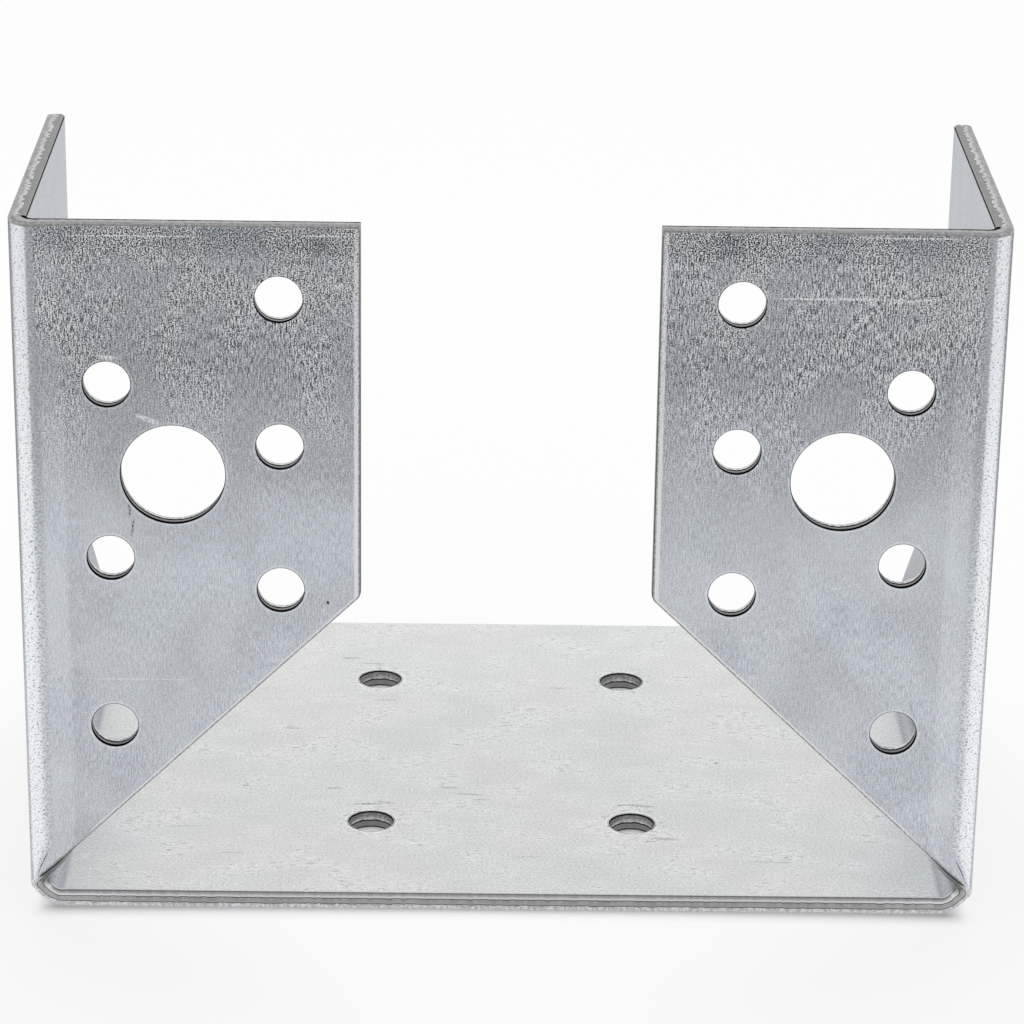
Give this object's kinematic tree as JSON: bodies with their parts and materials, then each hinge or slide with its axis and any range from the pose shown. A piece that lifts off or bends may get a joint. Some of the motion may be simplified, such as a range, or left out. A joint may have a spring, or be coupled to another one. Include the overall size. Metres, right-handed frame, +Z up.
{
  "type": "beam hanger",
  "caption": "Beam hanger folded from one galvanised sheet, with a seat, two side walls and nailing flanges turned inward at the front.",
  "frame": {"origin": "under the middle of the part, on the plane of the seat's underside", "axes": "+X across the beam, +Y along the beam away from its support, +Z up; the flanges' faces look towards -Y"},
  "size_m": [0.104, 0.079, 0.08],
  "materials": {
    "zinc_sheet": "hot-dip galvanised sheet, satin grey with fine rolling grain, sheared edges left bare and bright"
  },
  "bodies": {
    "root": {"hanger": "zinc_sheet"}
  },
  "joints": []
}
